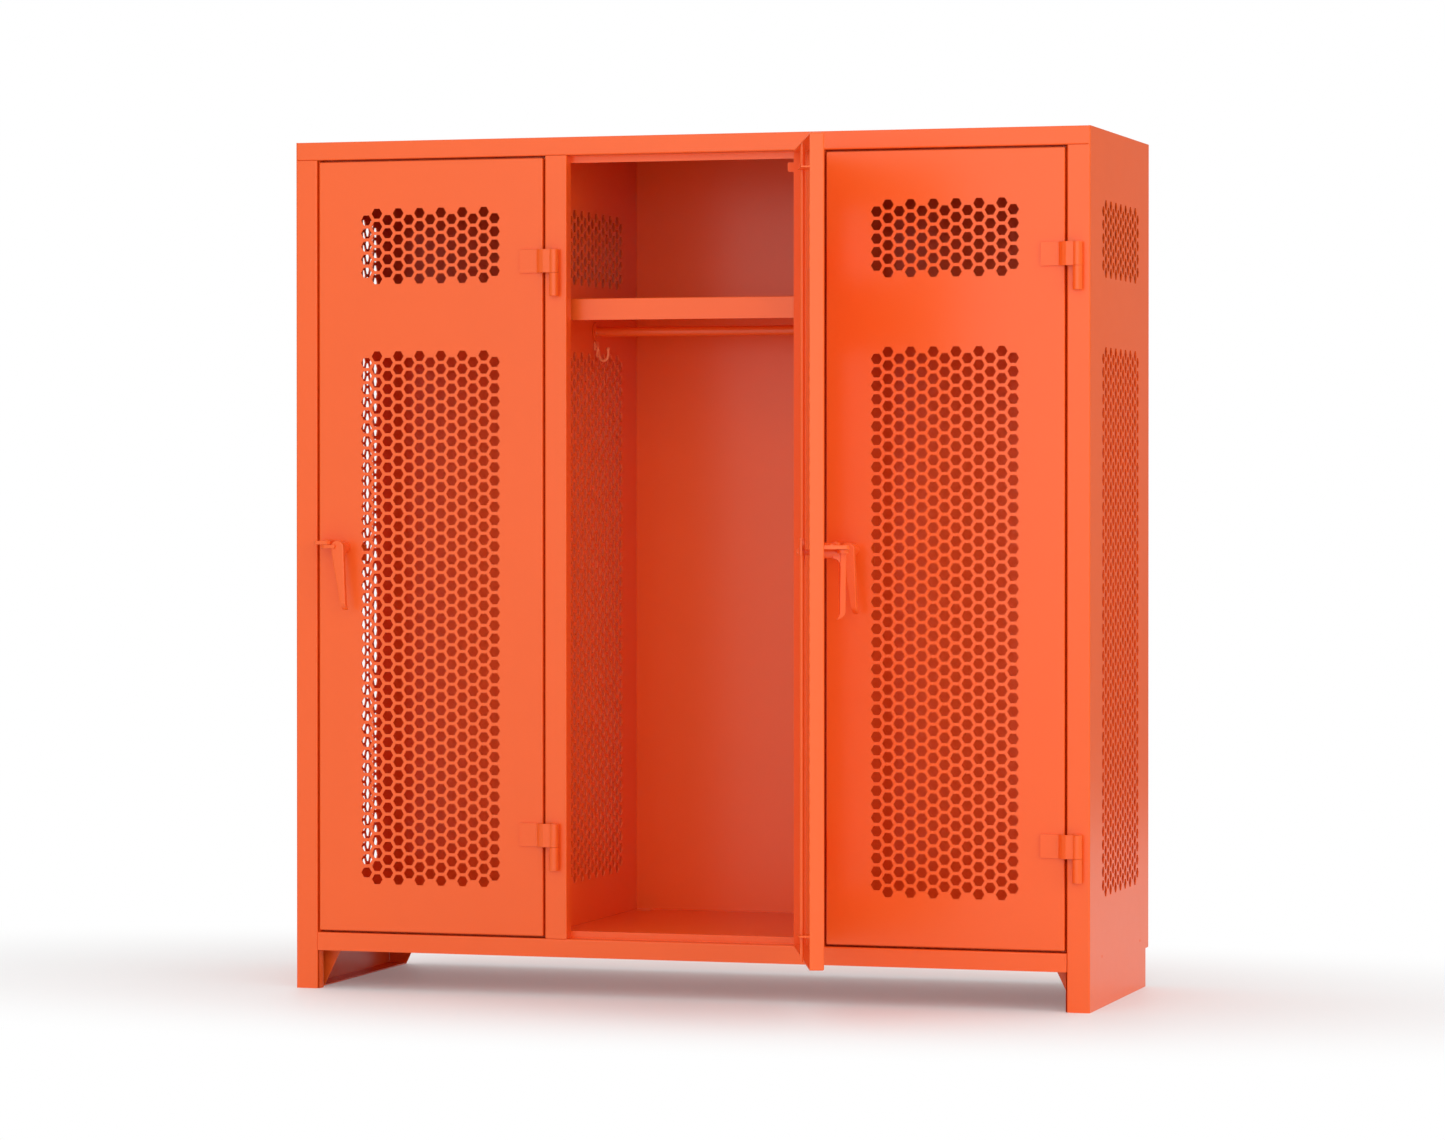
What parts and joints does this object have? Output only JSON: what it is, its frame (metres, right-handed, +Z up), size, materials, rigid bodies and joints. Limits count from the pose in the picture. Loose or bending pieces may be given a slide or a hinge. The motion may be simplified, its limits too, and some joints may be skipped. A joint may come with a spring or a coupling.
{
  "type": "ventilated locker",
  "caption": "Wide floor-standing steel locker with vented hinged doors, side by side compartments, shelves, coat rails, levers and locking rods.",
  "frame": {"origin": "on the floor, at the middle of the whole footprint with the middle door open", "axes": "+X to the viewer's right along the front, +Y from the front to the back, +Z up"},
  "size_m": [1.8288, 1.1706, 1.905],
  "materials": {
    "powder_coat": "satin"
  },
  "bodies": {
    "cabinet": {"top_sheet": "powder_coat", "header": "powder_coat", "bottom_rail": "powder_coat", "floor_sheet": "powder_coat", "back_sheet": "powder_coat", "left_side_sheet": "powder_coat", "right_side_sheet": "powder_coat", "left_post": "powder_coat", "left_middle_post": "powder_coat", "right_middle_post": "powder_coat", "right_post": "powder_coat", "left_divider": "powder_coat", "right_divider": "powder_coat", "left_foot": "powder_coat", "right_foot": "powder_coat", "left_shelf": "powder_coat", "left_coat_rail": "powder_coat", "left_coat_hook": "powder_coat", "left_upper_hinge_pin": "powder_coat", "left_lower_hinge_pin": "powder_coat", "middle_shelf": "powder_coat", "middle_coat_rail": "powder_coat", "middle_coat_hook": "powder_coat", "middle_upper_hinge_pin": "powder_coat", "middle_lower_hinge_pin": "powder_coat", "right_shelf": "powder_coat", "right_coat_rail": "powder_coat", "right_coat_hook": "powder_coat", "right_upper_hinge_pin": "powder_coat", "right_lower_hinge_pin": "powder_coat"},
    "left_door": {"left_door_sheet": "powder_coat", "left_door_rim": "powder_coat", "left_upper_hinge_strap": "powder_coat", "left_lower_hinge_strap": "powder_coat", "left_hasp_plate": "powder_coat"},
    "left_latch": {"left_lever": "powder_coat", "left_cam": "powder_coat"},
    "left_upper_rod": {"left_upper_rod": "powder_coat"},
    "left_lower_rod": {"left_lower_rod": "powder_coat"},
    "middle_door": {"middle_door_sheet": "powder_coat", "middle_door_rim": "powder_coat", "middle_upper_hinge_strap": "powder_coat", "middle_lower_hinge_strap": "powder_coat", "middle_hasp_plate": "powder_coat"},
    "middle_latch": {"middle_lever": "powder_coat", "middle_cam": "powder_coat"},
    "middle_upper_rod": {"middle_upper_rod": "powder_coat"},
    "middle_lower_rod": {"middle_lower_rod": "powder_coat"},
    "right_door": {"right_door_sheet": "powder_coat", "right_door_rim": "powder_coat", "right_upper_hinge_strap": "powder_coat", "right_lower_hinge_strap": "powder_coat", "right_hasp_plate": "powder_coat"},
    "right_latch": {"right_lever": "powder_coat", "right_cam": "powder_coat"},
    "right_upper_rod": {"right_upper_rod": "powder_coat"},
    "right_lower_rod": {"right_lower_rod": "powder_coat"}
  },
  "joints": [
    {"name": "left_door_hinge", "type": "hinge", "parent": "cabinet", "child": "left_door", "pos_m": [-0.29633, -0.03514, 0.9957], "axis": [0, 0, 1], "range_deg": [0, 120]},
    {"name": "left_latch_turn", "type": "hinge", "parent": "left_door", "child": "left_latch", "pos_m": [-0.7971, -0.02434, 0.994], "axis": [0, -1, 0], "range_deg": [0, 90]},
    {"name": "left_upper_rod_slide", "type": "slide", "parent": "left_door", "child": "left_upper_rod", "axis": [0, 0, 1], "range_m": [-0.001, 0.0405]},
    {"name": "left_lower_rod_slide", "type": "slide", "parent": "left_door", "child": "left_lower_rod", "axis": [0, 0, -1], "range_m": [-0.001, 0.0405]},
    {"name": "middle_door_hinge", "type": "hinge", "parent": "cabinet", "child": "middle_door", "pos_m": [0.29633, -0.03514, 0.9957], "axis": [0, 0, 1], "range_deg": [-109.7, 10.3]},
    {"name": "middle_latch_turn", "type": "hinge", "parent": "middle_door", "child": "middle_latch", "pos_m": [0.45497, -0.51024, 0.994], "axis": [0.9415, 0.3371, 0], "range_deg": [0, 90]},
    {"name": "middle_upper_rod_slide", "type": "slide", "parent": "middle_door", "child": "middle_upper_rod", "axis": [0, 0, 1], "range_m": [-0.001, 0.0405]},
    {"name": "middle_lower_rod_slide", "type": "slide", "parent": "middle_door", "child": "middle_lower_rod", "axis": [0, 0, -1], "range_m": [-0.001, 0.0405]},
    {"name": "right_door_hinge", "type": "hinge", "parent": "cabinet", "child": "right_door", "pos_m": [0.889, -0.03514, 0.9957], "axis": [0, 0, 1], "range_deg": [0, 120]},
    {"name": "right_latch_turn", "type": "hinge", "parent": "right_door", "child": "right_latch", "pos_m": [0.38823, -0.02434, 0.994], "axis": [0, -1, 0], "range_deg": [0, 90]},
    {"name": "right_upper_rod_slide", "type": "slide", "parent": "right_door", "child": "right_upper_rod", "axis": [0, 0, 1], "range_m": [-0.001, 0.0405]},
    {"name": "right_lower_rod_slide", "type": "slide", "parent": "right_door", "child": "right_lower_rod", "axis": [0, 0, -1], "range_m": [-0.001, 0.0405]}
  ],
  "couplings": [
    {"joint": "left_upper_rod_slide", "follows": "left_latch_turn", "m_per_rad": 0.025465},
    {"joint": "left_lower_rod_slide", "follows": "left_latch_turn", "m_per_rad": 0.025465},
    {"joint": "middle_upper_rod_slide", "follows": "middle_latch_turn", "m_per_rad": 0.025465},
    {"joint": "middle_lower_rod_slide", "follows": "middle_latch_turn", "m_per_rad": 0.025465},
    {"joint": "right_upper_rod_slide", "follows": "right_latch_turn", "m_per_rad": 0.025465},
    {"joint": "right_lower_rod_slide", "follows": "right_latch_turn", "m_per_rad": 0.025465}
  ]
}
